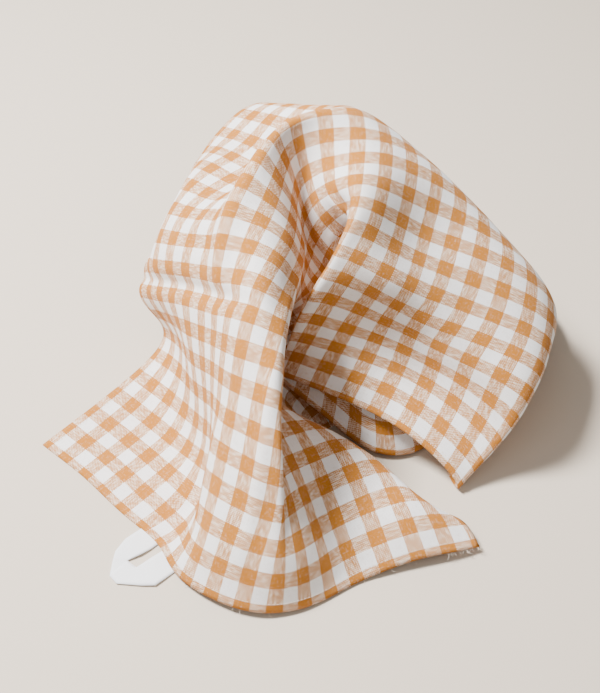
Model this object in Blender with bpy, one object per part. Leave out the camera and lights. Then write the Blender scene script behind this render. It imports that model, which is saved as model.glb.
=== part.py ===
"""A checked linen tea towel lying as it was dropped, with a white tape loop in its front hem.

Metres, +Z up, the front hem toward -Y. The towel is one sheet, 450 mm across by 700 mm along. Its
folds are set out in SECTIONS, a row for each cross-section from the front hem to the back hem and a
named column for each line that runs the length of the towel.
"""

import math

import bpy
import numpy as np

MM = 0.001

# The sheet.
TOWEL_WIDTH = 450.0
TOWEL_LENGTH = 700.0
CLOTH_THICKNESS = 1.5
CELLS_ACROSS = 36
CELLS_ALONG = 56

# Distance of each named line from the left hem, measured across the flat towel.
LINES = {
    "left_hem": 0.0,
    "left_flap": 50.0,
    "flap_root": 100.0,
    "ridge": 150.0,
    "body": 200.0,
    "main_fold": 250.0,
    "fold_back": 300.0,
    "valley": 350.0,
    "right_flap": 400.0,
    "right_hem": 450.0,
}

# Each row: distance from the front hem along the flat towel, then where each line of LINES passes,
# as (x, y, z) of the underside. All in mm, the table at z = 0.
SECTIONS = (
    # front hem, flat on the table
    (0, (-230, -85, 0), (-190, -115, 0), (-155, -150, 0), (-120, -180, 0), (-100, -215, 0),
        (-57, -243, 0), (-8, -238, 0), (31, -216, 0), (81, -202, 5), (130, -189, 4)),
    # left flap flat, main fold lifting off the table
    (40, (-205, -55, 0), (-165, -88, 0), (-130, -122, 0), (-97, -165, 8), (-85, -197, 30),
         (-45, -220, 37), (-11, -218, 35), (18, -188, 20), (70, -168, 25), (112, -158, 9)),
    # left flap still flat, main fold standing up
    (75, (-180, -25, 0), (-140, -60, 0), (-105, -95, 5), (-85, -130, 30), (-75, -170, 60),
         (-33, -198, 63), (-20, -190, 60), (5, -155, 40), (55, -120, 25), (64, -151, 2)),
    # end of the left flap, the right hem tucked under
    (150, (-135, 35, 15), (-115, -5, 40), (-100, -45, 65), (-80, -80, 90), (-60, -120, 115),
          (-25, -150, 125), (-42, -125, 90), (-28, -98, 65), (-8, -82, 28), (12, -113, 2)),
    # kink across the bulge
    (215, (-154, 47, 65), (-134, 19, 90), (-105, -10, 115), (-75, -45, 140), (-45, -75, 165),
          (-20, -75, 135), (-55, -50, 90), (-52, -28, 50), (-12, -30, 16), (15, -62, 2)),
    # inner panel turns back at its furthest right
    (280, (-118, 102, 103), (-120, 65, 135), (-90, 30, 155), (-65, 0, 185), (-20, -15, 170),
          (-10, -5, 118), (2, 10, 82), (42, 5, 48), (75, -38, 30), (88, -72, 2)),
    # inner panel, seen under the right flap
    (330, (-110, 135, 125), (-90, 100, 150), (-55, 65, 160), (-45, 40, 205), (-15, 26, 167),
          (-4, 28, 118), (26, 14, 82), (52, -24, 60), (58, -70, 36), (64, -105, 2)),
    # inner side of the right flap
    (385, (-85, 170, 140), (-55, 135, 155), (-20, 100, 170), (-15, 80, 210), (-5, 57, 178),
          (6, 26, 156), (22, 4, 124), (20, -14, 85), (14, -34, 48), (12, -66, 14)),
    # top ridge, and the left edge of the right flap
    (435, (-50, 205, 150), (-20, 170, 170), (10, 135, 190), (35, 95, 210), (35, 45, 200),
          (30, 0, 195), (20, -20, 165), (0, -28, 125), (-18, -30, 78), (-32, -36, 38)),
    # upper part of the right flap
    (485, (-5, 215, 120), (20, 175, 140), (45, 140, 160), (75, 105, 180), (80, 55, 185),
          (70, 10, 165), (55, -30, 150), (38, -35, 112), (18, -40, 75), (0, -55, 45)),
    # middle of the right flap
    (560, (50, 215, 65), (70, 170, 80), (90, 135, 100), (120, 95, 120), (140, 55, 140),
          (135, 10, 135), (115, -35, 118), (97, -50, 90), (92, -62, 57), (75, -95, 35)),
    # right flap just before it turns under
    (640, (115, 230, 25), (125, 180, 30), (145, 135, 45), (165, 90, 60), (185, 50, 80),
          (200, 5, 90), (190, -47, 83), (170, -87, 70), (147, -107, 35), (115, -130, 5)),
    # back hem
    (700, (170, 240, 0), (185, 190, 0), (195, 145, 5), (210, 95, 15), (220, 50, 25),
          (210, 5, 35), (180, -30, 35), (150, -65, 25), (125, -90, 12), (85, -95, 2)),
)

# Hanging loop: a white tape comes out of the front hem, is folded over at a mitred tip and goes back in.
TAPE_THICKNESS = 0.9
# The upper strip sinks this far into the lower one, so that the two are one piece.
TAPE_OVERLAP = 0.1
# Clear space between the hem and the cut ends of the tape.
HEM_GAP = 0.6
# Where each strip's two edges meet the hem, as distances from the left hem.
FIRST_END = (127.0, 146.0)
SECOND_END = (160.0, 184.0)
# Corners of the folded tip on the table, as x and y: its two outer ones, then each strip's inner one.
TIP_BACK = (-157.0, -201.0)
TIP_FRONT = (-147.0, -216.0)
INNER_CORNER = (-144.0, -198.5)
OUTER_CORNER = (-120.0, -218.0)


def natural_spline(stations, values, wanted):
    """Values of the smooth curve through (stations, values) at each wanted station."""
    count = len(stations)
    gap = np.diff(stations)
    matrix = np.eye(count)
    right = np.zeros(values.shape)
    for k in range(1, count - 1):
        matrix[k, k - 1 : k + 2] = gap[k - 1], 2.0 * (gap[k - 1] + gap[k]), gap[k]
        right[k] = 6.0 * ((values[k + 1] - values[k]) / gap[k] - (values[k] - values[k - 1]) / gap[k - 1])
    bend = np.linalg.solve(matrix, right.reshape(count, -1)).reshape(values.shape)
    k = np.clip(np.searchsorted(stations, wanted) - 1, 0, count - 2)
    shape = (len(wanted),) + (1,) * (values.ndim - 1)
    step = gap[k].reshape(shape)
    after = (wanted - stations[k]).reshape(shape)
    before = step - after
    straight = (values[k] * before + values[k + 1] * after) / step
    first = (before**3 / step - step * before) * bend[k] / 6.0
    second = (after**3 / step - step * after) * bend[k + 1] / 6.0
    return straight + first + second


def draped(across, along):
    """Points of the underside, in mm, for distances from the left hem and from the front hem."""
    rows = np.array([row[0] for row in SECTIONS], float)
    table = np.array([row[1:] for row in SECTIONS], float)
    lines = natural_spline(rows, table, along)
    stations = np.array(list(LINES.values()))
    points = natural_spline(stations, lines.transpose(1, 0, 2), across)
    points[:, :, 2] = np.maximum(points[:, :, 2], 0.0)
    return points


def thick(points, thickness):
    """Vertices and triangles of a closed sheet: the underside points and the same points lifted by thickness."""
    middle = points.copy()
    middle[:, :, 2] = np.maximum(points[:, :, 2] + thickness / 2.0, thickness / 2.0)
    normal = np.cross(np.gradient(middle, axis=0), np.gradient(middle, axis=1))
    normal /= np.linalg.norm(normal, axis=2, keepdims=True)
    lower = (middle - normal * thickness / 2.0).reshape(-1, 3)
    upper = (middle + normal * thickness / 2.0).reshape(-1, 3)
    across, along = points.shape[:2]
    index = np.arange(across * along).reshape(across, along)
    a, b = index[:-1, :-1].ravel(), index[1:, :-1].ravel()
    c, d = index[1:, 1:].ravel(), index[:-1, 1:].ravel()
    over = np.concatenate([np.stack([a, b, c], 1), np.stack([a, c, d], 1)])
    count = across * along
    rim = np.concatenate([index[:-1, 0], index[-1, :-1], index[:0:-1, -1], index[0, :0:-1]])
    after = np.roll(rim, -1)
    wall = np.concatenate([
        np.stack([rim, after, after + count], 1),
        np.stack([rim, after + count, rim + count], 1),
    ])
    faces = np.concatenate([over + count, over[:, ::-1], wall])
    return np.concatenate([lower, upper]), faces


def prism(outline, bottom, top):
    """Vertices and faces of a flat plate with this outline, given counter-clockwise from above."""
    count = len(outline)
    points = [(x, y, bottom) for x, y in outline] + [(x, y, top) for x, y in outline]
    faces = [tuple(range(count))[::-1], tuple(range(count, 2 * count))]
    for k in range(count):
        n = (k + 1) % count
        faces.append((k, n, n + count, k + count))
    return points, faces


def new_object(name, points, faces, material=None):
    mesh = bpy.data.meshes.new(name)
    places = [tuple(float(value) * MM for value in point) for point in points]
    mesh.from_pydata(places, [], [tuple(int(corner) for corner in face) for face in faces])
    mesh.update()
    made = bpy.data.objects.new(name, mesh)
    bpy.context.scene.collection.objects.link(made)
    if material:
        mesh.materials.append(material)
    return made


def principled(name, colour, roughness):
    material = bpy.data.materials.new(name)
    material.use_nodes = True
    shader = material.node_tree.nodes["Principled BSDF"]
    shader.inputs["Base Color"].default_value = (*colour, 1.0)
    shader.inputs["Roughness"].default_value = roughness
    return material


def beside_hem(across):
    """The point on the table just in front of the front hem, at this distance from the left hem."""
    points = draped(np.array([across - 1.0, across, across + 1.0]), np.array([0.0, 1.0]))[:, 0, :2]
    run = points[2] - points[0]
    run /= math.hypot(*run)
    return points[1][0] + run[1] * HEM_GAP, points[1][1] - run[0] * HEM_GAP


def main():
    for old in list(bpy.data.objects):
        bpy.data.objects.remove(old)

    gingham = principled("gingham_linen", (0.83, 0.55, 0.33), 0.85)
    white = principled("white_tape", (0.88, 0.87, 0.86), 0.7)

    across = np.linspace(0.0, TOWEL_WIDTH, CELLS_ACROSS + 1)
    along = np.linspace(0.0, TOWEL_LENGTH, CELLS_ALONG + 1)
    points, faces = thick(draped(across, along), CLOTH_THICKNESS)
    # The origin is the middle of the towel's box, at the level it rests on.
    middle = (points.min(axis=0) + points.max(axis=0)) / 2.0
    middle[2] = 0.0
    new_object("towel", points - middle, faces, gingham)

    tip = [TIP_BACK, TIP_FRONT]
    first = [beside_hem(FIRST_END[0]), *tip, INNER_CORNER, beside_hem(FIRST_END[1])]
    second = [beside_hem(SECOND_END[0]), *tip, OUTER_CORNER, beside_hem(SECOND_END[1])]
    points, faces = prism(first, 0.0, TAPE_THICKNESS)
    loop = new_object("hanging_loop", np.array(points) - middle, faces, white)
    level = TAPE_THICKNESS - TAPE_OVERLAP
    points, faces = prism(second, level, level + TAPE_THICKNESS)
    upper = new_object("tape_return", np.array(points) - middle, faces)
    upper.display_type = "WIRE"
    upper.hide_render = True
    upper.hide_set(True)
    join = loop.modifiers.new("join", "BOOLEAN")
    join.operation = "UNION"
    join.solver = "EXACT"
    join.object = upper


main()
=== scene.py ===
"""Looks of the checked linen tea towel: the draped sheet, its hems and stitches, and its tape loop."""

import logging
import math
from dataclasses import dataclass
from enum import Enum

import bmesh
import bpy
import numpy as np
from mathutils import Matrix, Vector


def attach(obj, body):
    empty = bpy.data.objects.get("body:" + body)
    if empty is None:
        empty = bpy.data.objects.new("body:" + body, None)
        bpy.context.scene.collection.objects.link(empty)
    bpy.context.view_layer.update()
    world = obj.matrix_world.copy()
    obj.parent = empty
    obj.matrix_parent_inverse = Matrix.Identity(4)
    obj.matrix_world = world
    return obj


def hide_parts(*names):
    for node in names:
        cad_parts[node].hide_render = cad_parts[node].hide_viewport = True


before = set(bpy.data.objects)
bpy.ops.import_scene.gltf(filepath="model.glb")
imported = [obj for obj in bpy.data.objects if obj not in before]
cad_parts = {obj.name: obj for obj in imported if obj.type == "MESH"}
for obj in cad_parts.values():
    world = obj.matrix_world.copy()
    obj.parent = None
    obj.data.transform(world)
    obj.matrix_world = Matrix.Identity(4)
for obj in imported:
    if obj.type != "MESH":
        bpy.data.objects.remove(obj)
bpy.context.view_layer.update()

LOG = logging.getLogger("tea_towel")
MM = 0.001
# Keeps a division by a length from failing where the length is zero.
TINY = 1e-9
# Name of the map that gives each place its distances on the flat cloth, in metres.
FLAT_MAP = "flat_cloth"

# The flat towel, in mm. The check repeats 18 times across and 27.5 times along.
TOWEL_WIDTH = 450.0
TOWEL_LENGTH = 700.0
CHECK_ACROSS = 25.0
CHECK_ALONG = TOWEL_LENGTH / 27.5

# Distance of each named line from the left hem, measured across the flat towel.
LINES = {
    "left_hem": 0.0,
    "left_flap": 50.0,
    "flap_root": 100.0,
    "ridge": 150.0,
    "body": 200.0,
    "main_fold": 250.0,
    "fold_back": 300.0,
    "valley": 350.0,
    "right_flap": 400.0,
    "right_hem": 450.0,
}

# Each row: distance from the front hem along the flat towel, then where each line of LINES passes,
# as (x, y, z) of the underside. All in mm, the table at z = 0.
SECTIONS = (
    # front hem, flat on the table
    (0, (-230, -85, 0), (-190, -115, 0), (-155, -150, 0), (-120, -180, 0), (-100, -215, 0),
        (-57, -243, 0), (-8, -238, 0), (31, -216, 0), (81, -202, 5), (130, -189, 4)),
    # left flap flat, main fold lifting off the table
    (40, (-205, -55, 0), (-165, -88, 0), (-130, -122, 0), (-97, -165, 8), (-85, -197, 30),
         (-45, -220, 37), (-11, -218, 35), (18, -188, 20), (70, -168, 25), (112, -158, 9)),
    # left flap still flat, main fold standing up
    (75, (-180, -25, 0), (-140, -60, 0), (-105, -95, 5), (-85, -130, 30), (-75, -170, 60),
         (-33, -198, 63), (-20, -190, 60), (5, -155, 40), (55, -120, 25), (64, -151, 2)),
    # end of the left flap, the right hem tucked under
    (150, (-135, 35, 15), (-115, -5, 40), (-100, -45, 65), (-80, -80, 90), (-60, -120, 115),
          (-25, -150, 125), (-42, -125, 90), (-28, -98, 65), (-8, -82, 28), (12, -113, 2)),
    # kink across the bulge
    (215, (-154, 47, 65), (-134, 19, 90), (-105, -10, 115), (-75, -45, 140), (-45, -75, 165),
          (-20, -75, 135), (-55, -50, 90), (-52, -28, 50), (-12, -30, 16), (15, -62, 2)),
    # inner panel turns back at its furthest right
    (280, (-118, 102, 103), (-120, 65, 135), (-90, 30, 155), (-65, 0, 185), (-20, -15, 170),
          (-10, -5, 118), (2, 10, 82), (42, 5, 48), (75, -38, 30), (88, -72, 2)),
    # inner panel, seen under the right flap
    (330, (-110, 135, 125), (-90, 100, 150), (-55, 65, 160), (-45, 40, 205), (-15, 26, 167),
          (-4, 28, 118), (26, 14, 82), (52, -24, 60), (58, -70, 36), (64, -105, 2)),
    # inner side of the right flap
    (385, (-85, 170, 140), (-55, 135, 155), (-20, 100, 170), (-15, 80, 210), (-5, 57, 178),
          (6, 26, 156), (22, 4, 124), (20, -14, 85), (14, -34, 48), (12, -66, 14)),
    # top ridge, and the left edge of the right flap
    (435, (-50, 205, 150), (-20, 170, 170), (10, 135, 190), (35, 95, 210), (35, 45, 200),
          (30, 0, 195), (20, -20, 165), (0, -28, 125), (-18, -30, 78), (-32, -36, 38)),
    # upper part of the right flap
    (485, (-5, 215, 120), (20, 175, 140), (45, 140, 160), (75, 105, 180), (80, 55, 185),
          (70, 10, 165), (55, -30, 150), (38, -35, 112), (18, -40, 75), (0, -55, 45)),
    # middle of the right flap
    (560, (50, 215, 65), (70, 170, 80), (90, 135, 100), (120, 95, 120), (140, 55, 140),
          (135, 10, 135), (115, -35, 118), (97, -50, 90), (92, -62, 57), (75, -95, 35)),
    # right flap just before it turns under
    (640, (115, 230, 25), (125, 180, 30), (145, 135, 45), (165, 90, 60), (185, 50, 80),
          (200, 5, 90), (190, -47, 83), (170, -87, 70), (147, -107, 35), (115, -130, 5)),
    # back hem
    (700, (170, 240, 0), (185, 190, 0), (195, 145, 5), (210, 95, 15), (220, 50, 25),
          (210, 5, 35), (180, -30, 35), (150, -65, 25), (125, -90, 12), (85, -95, 2)),
)

# How far the origin of SECTIONS lies from the middle of the CAD box, in x and y, in mm.
TABLE_SHIFT = (4.69, 2.74)


@dataclass(frozen=True)
class Crease:
    """A soft ridge or trough pressed into the cloth between two places on the flat towel.

    start and end are (across, along) in mm, half_width is how far it fades out to either side, and
    height is how far it stands out of the face, below zero for a trough.
    """

    name: str
    start: tuple[float, float]
    end: tuple[float, float]
    half_width: float
    height: float


CREASES = (
    Crease("kink_across_bulge", (-30.0, 218.0), (200.0, 212.0), 8.0, -5.5),
    Crease("short_crease_on_side", (95.0, 255.0), (135.0, 250.0), 7.0, -1.5),
    Crease("groove_beside_flap", (128.0, -10.0), (150.0, 90.0), 9.0, -4.0),
    Crease("soft_pleat_by_front_hem", (160.0, -10.0), (190.0, 120.0), 14.0, 2.5),
    Crease("front_flap_swell", (330.0, 10.0), (300.0, 110.0), 20.0, 3.0),
    Crease("right_flap_swell", (330.0, 600.0), (300.0, 470.0), 26.0, 3.0),
    Crease("crest_of_top_ridge", (150.0, 200.0), (150.0, 440.0), 9.0, 4.0),
    Crease("trough_left_of_ridge", (124.0, 230.0), (126.0, 410.0), 11.0, -4.0),
    Crease("apex_of_arch", (243.0, 400.0), (249.0, 430.0), 16.0, -8.0),
    Crease("edge_of_right_flap", (252.0, 438.0), (395.0, 441.0), 8.0, 3.0),
    Crease("pocket_by_main_fold", (266.0, 388.0), (335.0, 392.0), 22.0, -21.0),
    Crease("pocket_under_arch", (264.0, 416.0), (284.0, 386.0), 15.0, -10.0),
    Crease("edge_of_main_fold", (240.0, 30.0), (228.0, 330.0), 7.0, 2.5),
)


@dataclass(frozen=True)
class Tuck:
    """A small move of one place of the hem.

    place is (across, along) on the flat towel, reach is how far the move fades out around it, and
    move is (x, y, z). All in mm.
    """

    name: str
    place: tuple[float, float]
    reach: float
    move: tuple[float, float, float]


TUCKS = (
    Tuck("corner_under_right_flap", (450.0, 700.0), 32.0, (17.0, 6.0, 0.0)),
    Tuck("turn_of_inner_panel", (450.0, 292.0), 34.0, (14.0, 0.0, 0.0)),
    Tuck("left_hem_at_top", (0.0, 342.0), 24.0, (4.0, 1.0, -2.0)),
)


class Folds:
    """The draped face of the towel: its table of folds, eased until the cloth has its woven lengths."""

    # How firmly the diagonals and the double threads keep their lengths, next to 1 for the threads.
    SHEAR = 0.15
    BEND = 0.05
    # Cloth that is pushed together is corrected by this share of what stretched cloth is.
    SQUEEZE = 0.08
    # Share of its height that a crease still has at its two ends.
    CREASE_END = 0.35
    # Height above the table, in mm, below which the ripples fade away.
    RIPPLE_FADE = 6.0

    def __init__(self, cell: float, floor: float) -> None:
        """Lay the table out on a grid of points.

        Args:
            cell: Spacing of the points on the flat towel, in mm.
            floor: Lowest height that the middle of the cloth may take, in mm.
        """
        self.cell = cell
        self.floor = floor
        self.across = np.arange(0.0, TOWEL_WIDTH + 0.5 * cell, cell)
        self.along = np.arange(0.0, TOWEL_LENGTH + 0.5 * cell, cell)
        self.target = self.from_table()
        self.points = self.target.copy()

    @staticmethod
    def spline(stations: np.ndarray, values: np.ndarray, wanted: np.ndarray) -> np.ndarray:
        """Draw a smooth curve through the stations.

        Args:
            stations: Rising distances.
            values: What the curve has at each station, first index the station.
            wanted: Distances to read the curve at.

        Returns:
            The values there.
        """
        steps = np.diff(stations)
        rows, shape = len(stations), values.shape[1:]
        flat = values.reshape(rows, -1)
        system = np.eye(rows)
        right = np.zeros_like(flat)
        for row in range(1, rows - 1):
            before, after = steps[row - 1], steps[row]
            system[row, row - 1 : row + 2] = before, 2.0 * (before + after), after
            rise = (flat[row + 1] - flat[row]) / after - (flat[row] - flat[row - 1]) / before
            right[row] = 6.0 * rise
        bend = np.linalg.solve(system, right)
        place = np.clip(np.searchsorted(stations, wanted, side="right") - 1, 0, rows - 2)
        step = steps[place][:, None]
        past = (wanted - stations[place])[:, None]
        left = step - past
        made = (flat[place] * left + flat[place + 1] * past) / step
        made += (left**3 / step - step * left) * bend[place] / 6.0
        made += (past**3 / step - step * past) * bend[place + 1] / 6.0
        return made.reshape((len(wanted),) + shape)

    def from_table(self) -> np.ndarray:
        """Read the table at every point of the grid, about the middle of the CAD box."""
        rows = np.array([row[0] for row in SECTIONS], float)
        table = np.array([row[1:] for row in SECTIONS], float)
        lines = self.spline(rows, table, self.along)
        stations = np.array(list(LINES.values()), float)
        points = self.spline(stations, lines.transpose(1, 0, 2), self.across)
        points[:, :, 2] = np.maximum(points[:, :, 2], 0.0) + self.floor
        points[:, :, :2] += np.array(TABLE_SHIFT)
        return points

    def pull(self, first: tuple, second: tuple, length: float, give: float) -> None:
        """Move two sets of points toward this distance from each other, by this share of the error."""
        gap = self.points[second] - self.points[first]
        size = np.sqrt((gap * gap).sum(axis=-1, keepdims=True)) + TINY
        firm = np.where(size > length, give, give * self.SQUEEZE)
        move = gap * (0.5 * firm * (size - length) / size)
        self.points[first] += move
        self.points[second] -= move

    def pairs(self) -> list[tuple]:
        """List the threads, the diagonals and the double threads that hold the cloth in shape."""
        count, rows = self.points.shape[:2]
        whole = slice(None)
        made = []
        for k in (0, 1):
            first, second = slice(k, count - 1, 2), slice(k + 1, count, 2)
            made.append(((first, whole), (second, whole), self.cell, 1.0))
            first, second = slice(k, rows - 1, 2), slice(k + 1, rows, 2)
            made.append(((whole, first), (whole, second), self.cell, 1.0))
        diagonal = self.cell * math.sqrt(2.0)
        for i in (0, 1):
            for j in (0, 1):
                a, b = slice(i, count - 1, 2), slice(i + 1, count, 2)
                c, d = slice(j, rows - 1, 2), slice(j + 1, rows, 2)
                made.append(((a, c), (b, d), diagonal, self.SHEAR))
                made.append(((a, d), (b, c), diagonal, self.SHEAR))
        for k in range(4):
            first, second = slice(k, count - 2, 4), slice(k + 2, count, 4)
            made.append(((first, whole), (second, whole), 2.0 * self.cell, self.BEND))
            first, second = slice(k, rows - 2, 4), slice(k + 2, rows, 4)
            made.append(((whole, first), (whole, second), 2.0 * self.cell, self.BEND))
        return made

    def ease(self, rounds: int, hold: float) -> None:
        """Let the cloth take its woven lengths while it is held near the table.

        Args:
            rounds: How many times to go over the cloth.
            hold: Share of the way back to the table that each point moves each time.
        """
        pairs = self.pairs()
        for _ in range(rounds):
            self.points += hold * (self.target - self.points)
            for first, second, length, give in pairs:
                self.pull(first, second, length, give)
            self.keep_above_floor()

    def keep_above_floor(self) -> None:
        """Lift the points that have sunk below the lowest height."""
        height = self.points[:, :, 2]
        np.maximum(height, self.floor, out=height)

    def finer(self) -> "Folds":
        """Return the same folds with twice as many points each way."""
        shift = self.points - self.target
        made = Folds(self.cell / 2.0, self.floor)
        rows = self.spline(self.along, shift.transpose(1, 0, 2), made.along)
        made.points = made.target + self.spline(self.across, rows.transpose(1, 0, 2), made.across)
        return made

    def normals(self) -> np.ndarray:
        """Return the unit normal of the upper face at every point."""
        turn = np.cross(np.gradient(self.points, axis=0), np.gradient(self.points, axis=1))
        return turn / (np.linalg.norm(turn, axis=2, keepdims=True) + TINY)

    def press(self, creases: tuple[Crease, ...]) -> None:
        """Press the small creases into the face."""
        across, along = np.meshgrid(self.across, self.along, indexing="ij")
        rise = np.zeros_like(across)
        for crease in creases:
            start, end = np.array(crease.start), np.array(crease.end)
            run = end - start
            share = ((across - start[0]) * run[0] + (along - start[1]) * run[1]) / (run @ run)
            held = np.clip(share, 0.0, 1.0)
            off = np.hypot(across - start[0] - held * run[0], along - start[1] - held * run[1])
            fade = np.clip(4.0 * held * (1.0 - held) + self.CREASE_END, 0.0, 1.0)
            rise += crease.height * fade * np.exp(-((off / crease.half_width) ** 2))
        self.points += self.normals() * rise[:, :, None]
        self.keep_above_floor()

    def tuck(self, tucks: tuple[Tuck, ...]) -> None:
        """Move the tucked places of the hem."""
        across, along = np.meshgrid(self.across, self.along, indexing="ij")
        for tuck in tucks:
            off = np.hypot(across - tuck.place[0], along - tuck.place[1])
            self.points += np.exp(-((off / tuck.reach) ** 2))[:, :, None] * np.array(tuck.move)

    def calm(self, rounds: int) -> None:
        """Smooth away the small wrinkles that easing makes, and keep the folds of the table.

        Args:
            rounds: How many times each point's shift is evened out with its neighbours'.
        """
        shift = self.points - self.target
        for _ in range(rounds):
            for axis in (0, 1):
                lanes = np.moveaxis(shift, axis, 0)
                lanes[1:-1] = (lanes[:-2] + 2.0 * lanes[1:-1] + lanes[2:]) / 4.0
        self.points = self.target + shift
        self.keep_above_floor()

    def ripple(self, sizes: tuple[tuple[float, float], ...], seed: int) -> None:
        """Add the small unevenness of washed linen.

        Args:
            sizes: (wavelength, height) of each layer of ripples, in mm.
            seed: Picks the ripples.
        """
        chance = np.random.default_rng(seed)
        rise = np.zeros(self.points.shape[:2])
        for wave, height in sizes:
            across = np.arange(-wave, TOWEL_WIDTH + 2.0 * wave, wave)
            along = np.arange(-wave, TOWEL_LENGTH + 2.0 * wave, wave)
            knots = chance.normal(size=(len(across), len(along)))
            rows = self.spline(along, knots.T, self.along)
            rise += height * self.spline(across, rows.T, self.across)
        still = np.clip((self.points[:, :, 2] - self.floor) / self.RIPPLE_FADE, 0.0, 1.0)
        self.points += self.normals() * (rise * still)[:, :, None]


class Weave(Enum):
    """How a cloth's threads cross."""

    PLAIN = "plain weave"
    TWILL = "twill weave"


class NodeTree:
    """A short way to write shader nodes."""

    def __init__(self, tree: bpy.types.NodeTree) -> None:
        """Write into this tree."""
        self.tree = tree

    def node(self, kind: str, **settings: object) -> bpy.types.Node:
        """Add a node of this kind with these settings."""
        made = self.tree.nodes.new(kind)
        for name, value in settings.items():
            setattr(made, name, value)
        return made

    def link(self, source: bpy.types.NodeSocket, target: bpy.types.NodeSocket) -> None:
        """Join two sockets."""
        self.tree.links.new(source, target)

    def math(self, operation: str, *values: object) -> bpy.types.NodeSocket:
        """Add a math node.

        Args:
            operation: Blender's name for it.
            values: Its inputs, each a number or a socket.

        Returns:
            The output socket.
        """
        made = self.node("ShaderNodeMath", operation=operation)
        for slot, value in zip(made.inputs, values):
            if isinstance(value, (int, float)):
                slot.default_value = value
            else:
                self.link(value, slot)
        return made.outputs[0]

    def mix(self, share: object, first: object, second: object) -> bpy.types.NodeSocket:
        """Mix two colours, each a socket or (r, g, b), by a share."""
        made = self.node("ShaderNodeMix", data_type="RGBA")
        sockets = [made.inputs[0], made.inputs[6], made.inputs[7]]
        for slot, value in zip(sockets, (share, first, second)):
            if isinstance(value, tuple):
                slot.default_value = (*value, 1.0)
            elif isinstance(value, float):
                slot.default_value = value
            else:
                self.link(value, slot)
        return made.outputs[2]

    def noise(self, vector: bpy.types.NodeSocket, scale: float) -> bpy.types.NodeSocket:
        """Add a noise texture on this vector and return its value."""
        made = self.node("ShaderNodeTexNoise", noise_dimensions="3D")
        made.inputs["Scale"].default_value = scale
        made.inputs["Detail"].default_value = 2.0
        self.link(vector, made.inputs["Vector"])
        return made.outputs["Fac"]

    def combine(self, x: object, y: object, z: object = 0.0) -> bpy.types.NodeSocket:
        """Make a vector of three numbers or sockets."""
        made = self.node("ShaderNodeCombineXYZ")
        for slot, value in zip(made.inputs, (x, y, z)):
            if isinstance(value, float):
                slot.default_value = value
            else:
                self.link(value, slot)
        return made.outputs[0]


def group_tree(
    name: str, inputs: dict[str, float | None], outputs: tuple[str, ...]
) -> tuple[NodeTree, dict, dict]:
    """Start a shader node group.

    Args:
        name: Its name.
        inputs: Each input's default number, or None for a vector.
        outputs: Names of the outputs, each a number.

    Returns:
        The tree, its input sockets by name and its output sockets by name.
    """
    tree = bpy.data.node_groups.new(name, "ShaderNodeTree")
    for label, default in inputs.items():
        kind = "NodeSocketVector" if default is None else "NodeSocketFloat"
        socket = tree.interface.new_socket(name=label, in_out="INPUT", socket_type=kind)
        if default is not None:
            socket.default_value = default
    for label in outputs:
        tree.interface.new_socket(name=label, in_out="OUTPUT", socket_type="NodeSocketFloat")
    write = NodeTree(tree)
    start = write.node("NodeGroupInput")
    end = write.node("NodeGroupOutput")
    return write, {s.name: s for s in start.outputs}, {s.name: s for s in end.inputs}


# The slubs of each thread are read from its own line through one noise texture. These say how far
# the line runs for each metre of thread, how far the next thread's line lies beside it, where the
# weft's lines lie above the warp's, and how many noise cells go to each unit of these.
SLUBS_PER_METRE = 75.0
SLUB_SPACING = 2.7
WEFT_SLUBS = 7.0
SLUB_SCALE = 2.3
# How much of a thread shows where it passes under, and how much more where it passes over.
SHARE_UNDER = 0.37
SHARE_OVER = 0.55
# How much the slubs stand out, next to 1 for the roundness of a thread.
SLUB_HEIGHT = 0.9


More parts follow.
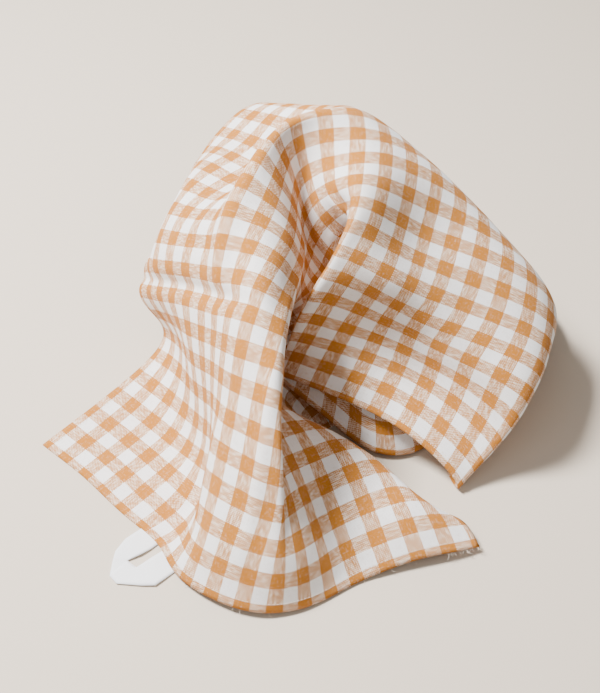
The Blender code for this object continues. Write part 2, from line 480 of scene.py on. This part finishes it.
def woven_threads() -> bpy.types.NodeTree:
    """Build the group that says which thread shows at each place of a cloth.

    Returns:
        The group. Warp Share and Weft Share say how much of each thread shows, Slub is the uneven
        thickness of the threads, Gap is 1 between threads, and Height feeds a Bump.
    """
    inputs = {"Place": None, "Thread": 0.0008, "Unevenness": 0.5, "Twill": 0.0}
    outputs = ("Warp Share", "Weft Share", "Slub", "Gap", "Height")
    tree, ins, outs = group_tree("woven_threads", inputs, outputs)
    split = tree.node("ShaderNodeSeparateXYZ")
    tree.link(ins["Place"], split.inputs[0])
    across, along = split.outputs[0], split.outputs[1]
    u = tree.math("DIVIDE", across, ins["Thread"])
    v = tree.math("DIVIDE", along, ins["Thread"])
    u_count = tree.math("FLOOR", u)
    v_count = tree.math("FLOOR", v)
    # The warp lies on top at every second crossing, or at two of every four in a twill.
    crossing = tree.math("ADD", u_count, v_count)
    plain = tree.math("FLOORED_MODULO", crossing, 2.0)
    twill = tree.math("LESS_THAN", tree.math("FLOORED_MODULO", crossing, 4.0), 2.0)
    over_plain = tree.math("MULTIPLY", plain, tree.math("SUBTRACT", 1.0, ins["Twill"]))
    over = tree.math("ADD", over_plain, tree.math("MULTIPLY", twill, ins["Twill"]))
    # Each thread swells and thins along its own length.
    beside = tree.math("MULTIPLY", u_count, SLUB_SPACING)
    streak = tree.math("MULTIPLY", along, SLUBS_PER_METRE)
    warp_slub = tree.noise(tree.combine(beside, streak), SLUB_SCALE)
    beside = tree.math("MULTIPLY", v_count, SLUB_SPACING)
    streak = tree.math("MULTIPLY", across, SLUBS_PER_METRE)
    weft_slub = tree.noise(tree.combine(streak, beside, WEFT_SLUBS), SLUB_SCALE)
    for slub, top, label in (
        (warp_slub, over, "Warp Share"),
        (weft_slub, tree.math("SUBTRACT", 1.0, over), "Weft Share"),
    ):
        swell = tree.math("MULTIPLY", tree.math("SUBTRACT", slub, 0.5), ins["Unevenness"])
        even = tree.math("MULTIPLY_ADD", top, SHARE_OVER, SHARE_UNDER)
        tree.link(tree.math("ADD", even, swell), outs[label])
    slubs = tree.math("ADD", warp_slub, weft_slub)
    tree.link(tree.math("SUBTRACT", slubs, 1.0), outs["Slub"])
    u_round = tree.math("SINE", tree.math("MULTIPLY", tree.math("FRACT", u), math.pi))
    v_round = tree.math("SINE", tree.math("MULTIPLY", tree.math("FRACT", v), math.pi))
    gap = tree.math("SUBTRACT", 1.0, tree.math("MULTIPLY", u_round, v_round))
    tree.link(tree.math("POWER", gap, 2.0), outs["Gap"])
    crown = tree.node("ShaderNodeMix", data_type="FLOAT")
    tree.link(over, crown.inputs[0])
    tree.link(v_round, crown.inputs[2])
    tree.link(u_round, crown.inputs[3])
    height = tree.math("MULTIPLY_ADD", slubs, SLUB_HEIGHT, crown.outputs[0])
    tree.link(height, outs["Height"])
    return tree.tree


@dataclass(frozen=True)
class WovenFinish:
    """What the finishes of the two cloths have in common.

    thread is the distance between threads in metres, unevenness says how much they swell and thin,
    and relief is the strength and the distance of the bump that raises them.
    """

    slot: str
    thread: float
    weave: Weave
    unevenness: float
    relief: tuple[float, float]

    def start(self, threads: bpy.types.NodeTree) -> tuple[bpy.types.Material, NodeTree, bpy.types.Node]:
        """Start the material around the shared weave group.

        Returns:
            The material with its threads raised, its tree and its weave group node.
        """
        made = bpy.data.materials.new(self.slot)
        made.use_nodes = True
        tree = NodeTree(made.node_tree)
        shader = made.node_tree.nodes["Principled BSDF"]
        weave = tree.node("ShaderNodeGroup", node_tree=threads)
        tree.link(self.flat_place(tree), weave.inputs["Place"])
        weave.inputs["Thread"].default_value = self.thread
        weave.inputs["Unevenness"].default_value = self.unevenness
        weave.inputs["Twill"].default_value = float(self.weave is Weave.TWILL)
        bump = tree.node("ShaderNodeBump")
        strength, distance = self.relief
        bump.inputs["Strength"].default_value = strength
        bump.inputs["Distance"].default_value = distance
        tree.link(weave.outputs["Height"], bump.inputs["Height"])
        tree.link(bump.outputs[0], shader.inputs["Normal"])
        return made, tree, weave

    @staticmethod
    def flat_place(tree: NodeTree) -> bpy.types.NodeSocket:
        """Return the place on the flat cloth."""
        return tree.node("ShaderNodeUVMap", uv_map=FLAT_MAP).outputs[0]


@dataclass(frozen=True)
class GinghamLinen(WovenFinish):
    """Orange and white linen, its check woven from dyed and white threads both ways.

    dyed and pale are the colours of the threads, warmed is a white thread among dyed ones, shaded is
    what thick places tend to, and the gap colour is painted shade between threads. The shares say how
    far the colour goes: to pale in thin places, to shaded in thick ones and to painted shade in gaps.
    """

    slot: str = "gingham_linen"
    thread: float = 0.00095
    weave: Weave = Weave.PLAIN
    unevenness: float = 2.0
    relief: tuple[float, float] = (0.35, 0.00025)
    dyed: tuple[float, float, float] = (0.44, 0.147, 0.0)
    pale: tuple[float, float, float] = (0.90, 0.885, 0.88)
    warmed: tuple[float, float, float] = (0.90, 0.79, 0.66)
    shaded: tuple[float, float, float] = (0.46, 0.30, 0.20)
    # Painted shade in the gaps between threads.
    painted_gap_shade: tuple[float, float, float] = (0.36, 0.22, 0.13)
    thin_share: float = 0.4
    thick_share: float = 0.55
    gap_share: float = 0.26
    roughness: float = 0.88
    slub_roughness: float = 0.1
    specular: float = 0.15
    sheen: float = 0.04

    def stripe(self, tree: NodeTree, place: bpy.types.NodeSocket, check: float) -> bpy.types.NodeSocket:
        """Return 1 where a whole thread at this distance is dyed: half of each check, around its start."""
        count = tree.math("FLOOR", tree.math("DIVIDE", place, self.thread))
        thread = tree.math("MULTIPLY", count, self.thread)
        phase = tree.math("FRACT", tree.math("ADD", tree.math("DIVIDE", thread, check), 0.5))
        return tree.math("LESS_THAN", tree.math("ABSOLUTE", tree.math("SUBTRACT", phase, 0.5)), 0.25)

    def material(self, threads: bpy.types.NodeTree) -> bpy.types.Material:
        """Build the finish around the shared weave group."""
        made, tree, weave = self.start(threads)
        shader = made.node_tree.nodes["Principled BSDF"]
        split = tree.node("ShaderNodeSeparateXYZ")
        tree.link(self.flat_place(tree), split.inputs[0])
        warp = self.stripe(tree, split.outputs[0], CHECK_ACROSS * MM)
        weft = self.stripe(tree, split.outputs[1], CHECK_ALONG * MM)
        dyed_warp = tree.math("MULTIPLY", warp, weave.outputs["Warp Share"])
        dyed_weft = tree.math("MULTIPLY", weft, weave.outputs["Weft Share"])
        showing = tree.math("ADD", dyed_warp, dyed_weft)
        # Where both ways are dyed, no white thread shows.
        dyed = tree.math("MAXIMUM", showing, tree.math("MULTIPLY", warp, weft))
        # White threads among dyed ones pick up some of their colour.
        ground = tree.mix(tree.math("MAXIMUM", warp, weft), self.pale, self.warmed)
        colour = tree.mix(dyed, ground, self.dyed)
        # Slub is below zero in thin places, which let less dye show, and above it in thick ones,
        # which are a little darker, in white threads too. The mixes keep their shares from 0 to 1.
        slub = weave.outputs["Slub"]
        faded = tree.mix(tree.math("MULTIPLY", slub, -self.thin_share), colour, self.pale)
        uneven = tree.mix(tree.math("MULTIPLY", slub, self.thick_share), faded, self.shaded)
        # Painted shade: the gaps between threads are darkened by this share toward the gap colour.
        shade = tree.math("MULTIPLY", weave.outputs["Gap"], self.gap_share)
        tree.link(tree.mix(shade, uneven, self.painted_gap_shade), shader.inputs["Base Color"])
        rough = tree.math("MULTIPLY_ADD", slub, self.slub_roughness, self.roughness)
        tree.link(rough, shader.inputs["Roughness"])
        shader.inputs["Specular IOR Level"].default_value = self.specular
        shader.inputs["Sheen Weight"].default_value = self.sheen
        shader.inputs["Sheen Roughness"].default_value = 0.5
        return made


@dataclass(frozen=True)
class WhiteTape(WovenFinish):
    """Bare white woven tape: pale threads, and gaps taken this share of the way to grey, as painted shade.
    """

    slot: str = "white_tape"
    thread: float = 0.0006
    weave: Weave = Weave.TWILL
    unevenness: float = 0.6
    relief: tuple[float, float] = (0.3, 0.0002)
    pale: tuple[float, float, float] = (0.86, 0.865, 0.88)
    # Grey of the painted shade in the gaps between threads.
    gap_shade_grey: tuple[float, float, float] = (0.62, 0.62, 0.64)
    gap_share: float = 0.3
    roughness: float = 0.72

    def material(self, threads: bpy.types.NodeTree) -> bpy.types.Material:
        """Build the finish around the shared weave group."""
        made, tree, weave = self.start(threads)
        shader = made.node_tree.nodes["Principled BSDF"]
        # Painted shade: the gaps between threads are darkened by this share toward the grey.
        shade = tree.math("MULTIPLY", weave.outputs["Gap"], self.gap_share)
        tree.link(tree.mix(shade, self.pale, self.gap_shade_grey), shader.inputs["Base Color"])
        shader.inputs["Roughness"].default_value = self.roughness
        return made


@dataclass(frozen=True)
class Cotton:
    """Plain sewing thread in patches of two colours; patches is about how many go to a metre."""

    name: str = "hem_thread"
    colour: tuple[float, float, float] = (0.86, 0.78, 0.70)
    other: tuple[float, float, float] = (0.74, 0.56, 0.40)
    patches: float = 400.0

    def material(self) -> bpy.types.Material:
        """Build the finish."""
        made = bpy.data.materials.new(self.name)
        made.use_nodes = True
        tree = NodeTree(made.node_tree)
        shader = made.node_tree.nodes["Principled BSDF"]
        place = tree.node("ShaderNodeTexCoord")
        patch = tree.noise(place.outputs["Object"], self.patches)
        tree.link(tree.mix(patch, self.colour, self.other), shader.inputs["Base Color"])
        shader.inputs["Roughness"].default_value = 0.8
        return made


@dataclass(frozen=True)
class PaleFloor:
    """The plain pale surface that the towel lies on."""

    colour: tuple[float, float, float] = (0.62, 0.53, 0.43)

    def material(self) -> bpy.types.Material:
        """Build the finish."""
        made = bpy.data.materials.new("pale_floor")
        made.use_nodes = True
        shader = made.node_tree.nodes["Principled BSDF"]
        shader.inputs["Base Color"].default_value = (*self.colour, 1.0)
        shader.inputs["Roughness"].default_value = 0.9
        return made


def finished(name: str, mesh: bmesh.types.BMesh, material: bpy.types.Material) -> bpy.types.Object:
    """Make a piece of a finished bmesh, with its faces shaded as one surface.

    Args:
        name: The piece's name.
        mesh: Its shape, in metres; it is freed.
        material: Its finish.

    Returns:
        The object, at the origin.
    """
    data = bpy.data.meshes.new(name)
    mesh.to_mesh(data)
    mesh.free()
    data.materials.append(material)
    data.polygons.foreach_set("use_smooth", [True] * len(data.polygons))
    made = bpy.data.objects.new(name, data)
    bpy.context.scene.collection.objects.link(made)
    return made


# Lowest height of the middle of a loose thread, in mm, and its radius, in metres.
LOOSE_FLOOR = 0.3
LOOSE_RADIUS = 0.00012


def add_thread(mesh: bmesh.types.BMesh, points: list[Vector]) -> None:
    """Add a closed thin tube along these points, in metres."""
    start = (points[1] - points[0]).normalized()
    turn = start.to_track_quat("Z", "Y").to_matrix().to_4x4()
    matrix = Matrix.Translation(points[0]) @ turn
    ring = bmesh.ops.create_circle(
        mesh, cap_ends=True, segments=5, radius=LOOSE_RADIUS, matrix=matrix
    )["verts"]
    face = next(f for f in ring[0].link_faces)
    for before, after in zip(points, points[1:]):
        made = bmesh.ops.extrude_discrete_faces(mesh, faces=[face])["faces"]
        face = made[0]
        bmesh.ops.translate(mesh, verts=face.verts, vec=after - before)


@dataclass
class TeaTowel:
    """The draped sheet with its turned hems, their stitches and the threads that came loose.

    The measures are in mm: hem_slope is how far the cloth takes to reach the hem's thickness,
    stitch_inset how far the stitches lie outside the hem's inner edge, and root_inset how far the
    loose threads start inside the edge. holds are the shares by which the coarse folds go back to
    the table in each round, from firm to loose, and ripples are layers of (wavelength, height).
    """

    thickness: float = 0.9
    hem_thickness: float = 1.7
    hem_width: float = 8.5
    hem_slope: float = 2.0
    coarse_cell: float = 12.5
    holds: tuple[float, ...] = (0.3, 0.1, 0.03, 0.01)
    ease_rounds: int = 150
    calm_rounds: int = 6
    ripples: tuple[tuple[float, float], ...] = ((60.0, 0.4), (22.0, 0.16), (11.0, 0.07))
    stitch_pitch: float = 3.4
    stitch_length: float = 2.4
    stitch_width: float = 0.5
    stitch_inset: float = 1.2
    root_inset: float = 0.2
    folds: Folds | None = None

    def drape(self) -> None:
        """Work the folds out, from coarse to fine."""
        folds = Folds(self.coarse_cell, self.hem_thickness / 2.0)
        for hold in self.holds:
            folds.ease(self.ease_rounds, hold)
        folds = folds.finer()
        folds.ease(self.ease_rounds, self.holds[-1])
        folds.calm(self.calm_rounds)
        folds = folds.finer()
        folds.ripple(self.ripples, seed=11)
        folds.press(CREASES)
        folds.tuck(TUCKS)
        self.folds = folds

    def hem_share(self) -> np.ndarray:
        """Return how much of the hem's thickness each point has, from 0 in the field to 1 in the hem."""
        across, along = np.meshgrid(self.folds.across, self.folds.along, indexing="ij")
        from_side = np.minimum(across, TOWEL_WIDTH - across)
        from_end = np.minimum(along, TOWEL_LENGTH - along)
        edge = np.minimum(from_side, from_end)
        return np.clip((self.hem_width - edge) / self.hem_slope + 0.5, 0.0, 1.0)

    def sheet(self, material: bpy.types.Material) -> bpy.types.Object:
        """Build the sheet: a grid laid on the folds, then given its thickness."""
        folds = self.folds
        columns, rows = folds.points.shape[:2]
        mesh = bmesh.new()
        size = Matrix.Diagonal((TOWEL_WIDTH / 2.0, TOWEL_LENGTH / 2.0, 1.0, 1.0))
        bmesh.ops.create_grid(mesh, x_segments=columns - 1, y_segments=rows - 1, size=1.0, matrix=size)
        flat_map = mesh.loops.layers.uv.new(FLAT_MAP)
        spots = []
        for vertex in mesh.verts:
            column = round((vertex.co.x + TOWEL_WIDTH / 2.0) / folds.cell)
            row = round((vertex.co.y + TOWEL_LENGTH / 2.0) / folds.cell)
            spots.append((column, row))
        for face in mesh.faces:
            for loop in face.loops:
                flat = (loop.vert.co.x + TOWEL_WIDTH / 2.0, loop.vert.co.y + TOWEL_LENGTH / 2.0)
                loop[flat_map].uv = (flat[0] * MM, flat[1] * MM)
        for vertex, spot in zip(mesh.verts, spots):
            vertex.co = folds.points[spot] * MM
        made = finished("towel_sheet", mesh, material)
        share = self.hem_share()
        hem = made.vertex_groups.new(name="hem")
        for index, spot in enumerate(spots):
            hem.add([index], float(share[spot]), "REPLACE")
        solid = made.modifiers.new("thickness", "SOLIDIFY")
        solid.thickness = self.hem_thickness * MM
        solid.offset = 0.0
        solid.vertex_group = "hem"
        solid.thickness_vertex_group = self.thickness / self.hem_thickness
        solid.use_rim = True
        return self.apply(made)

    @staticmethod
    def apply(made: bpy.types.Object) -> bpy.types.Object:
        """Apply every modifier of a piece and return it."""
        graph = bpy.context.evaluated_depsgraph_get()
        data = bpy.data.meshes.new_from_object(made.evaluated_get(graph))
        made.modifiers.clear()
        old = made.data
        made.data = data
        bpy.data.meshes.remove(old)
        data.name = made.name
        return made

    def surface(self, across: float, along: float) -> tuple[Vector, Vector]:
        """Return the middle of the cloth and its normal at a place on the flat towel, in mm."""
        folds = self.folds
        # Held just inside the last cell, so that there is always a next point.
        x = min(across / folds.cell, len(folds.across) - 1.001)
        y = min(along / folds.cell, len(folds.along) - 1.001)
        i, j = int(x), int(y)
        s, t = x - i, y - j
        at = folds.points
        low = at[i, j] * (1 - s) + at[i + 1, j] * s
        high = at[i, j + 1] * (1 - s) + at[i + 1, j + 1] * s
        side = (at[i + 1, j] - at[i, j]) * (1 - t) + (at[i + 1, j + 1] - at[i, j + 1]) * t
        return Vector(low * (1 - t) + high * t), Vector(np.cross(side, high - low)).normalized()

    def stitches(self, material: bpy.types.Material) -> bpy.types.Object:
        """Build the running stitches along the inner edge of the four hems, on both faces."""
        line = self.hem_width - self.stitch_inset
        far_side = TOWEL_WIDTH - line
        far_end = TOWEL_LENGTH - line
        corners = ((line, line), (far_side, line), (far_side, far_end), (line, far_end))
        mesh = bmesh.new()
        for start, end in zip(corners, corners[1:] + corners[:1]):
            reach = math.hypot(end[0] - start[0], end[1] - start[1])
            step = ((end[0] - start[0]) / reach, (end[1] - start[1]) / reach)
            for number in range(int(reach / self.stitch_pitch)):
                middle = (number + 0.5) * self.stitch_pitch
                place = (start[0] + step[0] * middle, start[1] + step[1] * middle)
                spot, normal = self.surface(*place)
                ahead, _ = self.surface(place[0] + step[0], place[1] + step[1])
                run = (ahead - spot).normalized()
                side = normal.cross(run).normalized()
                for face in (1.0, -1.0):
                    centre = (spot + normal * (face * self.hem_thickness * 0.5)) * MM
                    if centre.z < self.stitch_width * 0.5 * MM:
                        continue
                    sizes = (self.stitch_length / 2.0, self.stitch_width / 2.0, self.stitch_width / 2.0)
                    shape = Matrix.Diagonal((*[size * MM for size in sizes], 1.0))
                    turn = Matrix((run, side, normal)).transposed().to_4x4()
                    matrix = Matrix.Translation(centre) @ turn @ shape
                    bmesh.ops.create_icosphere(mesh, subdivisions=1, radius=1.0, matrix=matrix)
        return finished("hem_stitches", mesh, material)

    def loose_threads(self, material: bpy.types.Material) -> bpy.types.Object:
        """Build the few threads that have worked loose at the front right corner and along the front."""
        chance = np.random.default_rng(5)
        mesh = bmesh.new()
        edge = self.root_inset
        inward = 4.0
        # The front hem beside the corner, the right hem beside it, then further along the front hem.
        roots = [(TOWEL_WIDTH - chance.uniform(0.0, 26.0), edge) for _ in range(16)]
        roots += [(TOWEL_WIDTH - edge, chance.uniform(0.0, 14.0)) for _ in range(9)]
        roots += [(chance.uniform(200.0, 420.0), edge) for _ in range(12)]
        for across, along in roots:
            spot, normal = self.surface(across, along)
            # A thread points straight out over the front hem, or aslant from the right hem.
            aslant = inward if along > edge else 0.0
            inner, _ = self.surface(across - aslant, along + inward)
            out = (spot - inner).normalized()
            side = normal.cross(out)
            length = chance.uniform(1.6, 5.0)
            swing = chance.normal(0.0, 0.5)
            lift = chance.uniform(-0.1, 0.35)
            points = []
            for share in (0.0, 0.25, 0.5, 0.75, 1.0):
                reach = out * (length * share) + side * (swing * length * share * share)
                point = spot + reach + normal * (lift * length * share * share)
                point.z = max(point.z, LOOSE_FLOOR)
                points.append(point * MM)
            add_thread(mesh, points)
        bmesh.ops.recalc_face_normals(mesh, faces=mesh.faces)
        return finished("loose_threads", mesh, material)


@dataclass
class HangingLoop:
    """The white tape that comes out of the front hem, folds over at its tip and goes back in.

    Each strip is a row of stations from the hem to the tip, or back: (outer x, outer y),
    (inner x, inner y) and height of its middle, in mm and about the origin of SECTIONS. The two
    strips share the folded tip, where the lower one lies over the upper one.
    """

    thickness: float = 0.6
    tape_width: float = 19.0
    # Cells between two stations, and cells from edge to edge.
    steps: int = 6
    cells_across: int = 8
    # How far along the tape the lower strip starts.
    lower_start: float = 60.0
    upper: tuple = (
        ((-130.2, -161.3), (-118.5, -178.0), 0.6),
        ((-133.5, -164.2), (-121.6, -180.7), 0.8),
        ((-141.2, -171.0), (-127.5, -186.3), 1.6),
        ((-147.8, -177.2), (-134.0, -190.9), 2.2),
        ((-154.3, -188.0), (-140.0, -194.0), 1.8),
        ((-155.5, -197.0), (-144.0, -196.0), 1.2),
        ((-156.2, -209.2), (-136.4, -202.1), 0.5),
    )
    lower: tuple = (
        ((-156.2, -209.2), (-144.0, -196.0), 1.2),
        ((-150.1, -216.0), (-136.4, -202.1), 1.3),
        ((-130.9, -217.8), (-130.0, -197.0), 1.6),
        ((-120.4, -217.8), (-124.0, -192.3), 1.8),
        ((-114.0, -212.2), (-118.6, -188.0), 1.5),
        ((-107.7, -206.5), (-111.2, -182.5), 1.0),
        ((-99.2, -199.5), (-103.2, -175.5), 1.0),
    )

    def strip(
        self, name: str, stations: tuple, material: bpy.types.Material, lengthways: float
    ) -> bpy.types.Object:
        """Lay a grid on one strip's stations.

        Args:
            name: The strip's name.
            stations: Its rows.
            material: Its finish.
            lengthways: How far along the tape it starts, in mm.

        Returns:
            The piece.
        """
        table = np.array([[*outer, high, *inner, high] for outer, inner, high in stations], float)
        marks = np.arange(len(table), dtype=float)
        count = self.steps * (len(table) - 1)
        fine = np.linspace(0.0, len(table) - 1.0, count + 1)
        rows = np.stack([np.interp(fine, marks, table[:, k]) for k in range(6)], axis=1)
        rows[:, 2] = rows[:, 5] = Folds.spline(marks, table[:, 2], fine)
        rows[:, [0, 1, 3, 4]] += np.tile(TABLE_SHIFT, 2)
        mesh = bmesh.new()
        bmesh.ops.create_grid(mesh, x_segments=count, y_segments=self.cells_across, size=0.5)
        flat_map = mesh.loops.layers.uv.new(FLAT_MAP)
        step = np.linalg.norm(np.diff((rows[:, :3] + rows[:, 3:]) / 2.0, axis=0), axis=1)
        far = np.concatenate([[0.0], np.cumsum(step)]) + lengthways
        for face in mesh.faces:
            for loop in face.loops:
                place = loop.vert.co
                row = round((place.x + 0.5) * count)
                loop[flat_map].uv = ((place.y + 0.5) * self.tape_width * MM, far[row] * MM)
        for vertex in mesh.verts:
            row = round((vertex.co.x + 0.5) * count)
            share = vertex.co.y + 0.5
            point = rows[row, :3] * (1.0 - share) + rows[row, 3:] * share
            point[2] = max(point[2], self.thickness / 2.0)
            vertex.co = Vector(point) * MM
        made = finished(name, mesh, material)
        if sum(polygon.normal.z for polygon in made.data.polygons) < 0.0:
            made.data.flip_normals()
        solid = made.modifiers.new("thickness", "SOLIDIFY")
        solid.thickness = self.thickness * MM
        solid.offset = 0.0
        return TeaTowel.apply(made)


@dataclass
class Studio:
    """The pale floor, the soft lights and the camera."""

    # Where the camera stands, in mm about the origin of SECTIONS, how far it looks down, in
    # radians, and its focal length, in mm.
    camera_place: tuple[float, float, float] = (-11.2, -618.0, 689.7)
    camera_pitch: float = 0.8153
    camera_lens: float = 61.6
    # From the middle of the floor to its sides, in metres.
    floor_reach: float = 6.0
    sky_colour: tuple[float, float, float, float] = (1.0, 0.99, 0.975, 1.0)
    sky_strength: float = 0.42

    def build(self) -> None:
        """Set up everything that isn't part of the towel."""
        mesh = bmesh.new()
        bmesh.ops.create_grid(mesh, x_segments=1, y_segments=1, size=self.floor_reach)
        floor = finished("floor", mesh, PaleFloor().material())
        lens = bpy.data.cameras.new("camera")
        lens.sensor_fit = "HORIZONTAL"
        lens.sensor_width = 36.0
        lens.lens = self.camera_lens
        lens.clip_start = 0.01
        camera = bpy.data.objects.new("camera", lens)
        across, along = TABLE_SHIFT
        camera.location = (Vector(self.camera_place) + Vector((across, along, 0.0))) * MM
        camera.rotation_euler = (math.pi / 2.0 - self.camera_pitch, 0.0, 0.0)
        bpy.context.scene.collection.objects.link(camera)
        bpy.context.scene.camera = camera
        self.light("key", (-0.95, 0.25, 1.75), size=0.5, power=142.0)
        self.light("fill", (-0.9, -1.4, 1.7), size=1.6, power=10.0)
        world = bpy.data.worlds.new("studio")
        world.use_nodes = True
        sky = world.node_tree.nodes["Background"]
        sky.inputs["Color"].default_value = self.sky_colour
        sky.inputs["Strength"].default_value = self.sky_strength
        bpy.context.scene.world = world

    @staticmethod
    def light(name: str, place: tuple[float, float, float], size: float, power: float) -> None:
        """Hang a soft square light, its place and size in metres, that faces the towel."""
        data = bpy.data.lights.new(name, "AREA")
        data.size = size
        data.energy = power
        made = bpy.data.objects.new(name, data)
        made.location = place
        toward = Vector((0.0, 0.0, 0.08)) - Vector(place)
        made.rotation_euler = toward.to_track_quat("-Z", "Y").to_euler()
        bpy.context.scene.collection.objects.link(made)


def main() -> None:
    """Build the towel, its loop and the studio, and report each piece."""
    logging.basicConfig(level=logging.INFO, format="%(name)s: %(message)s")
    threads = woven_threads()
    linen = GinghamLinen().material(threads)
    tape = WhiteTape().material(threads)
    cotton = Cotton().material()

    towel = TeaTowel()
    towel.drape()
    sheet = towel.sheet(linen)
    stitches = towel.stitches(cotton)
    loose = towel.loose_threads(cotton)
    loop = HangingLoop()
    upper = loop.strip("loop_upper_strip", loop.upper, tape, 0.0)
    lower = loop.strip("loop_lower_strip", loop.lower, tape, loop.lower_start)

    for piece in (sheet, stitches, loose, upper, lower):
        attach(piece, "root")
        LOG.info("%s: %d faces", piece.name, len(piece.data.polygons))
    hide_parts("towel")
    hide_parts("hanging_loop")
    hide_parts("hanging_loop")
    Studio().build()
    bpy.context.view_layer.update()


if __name__ == "__main__":
    main()
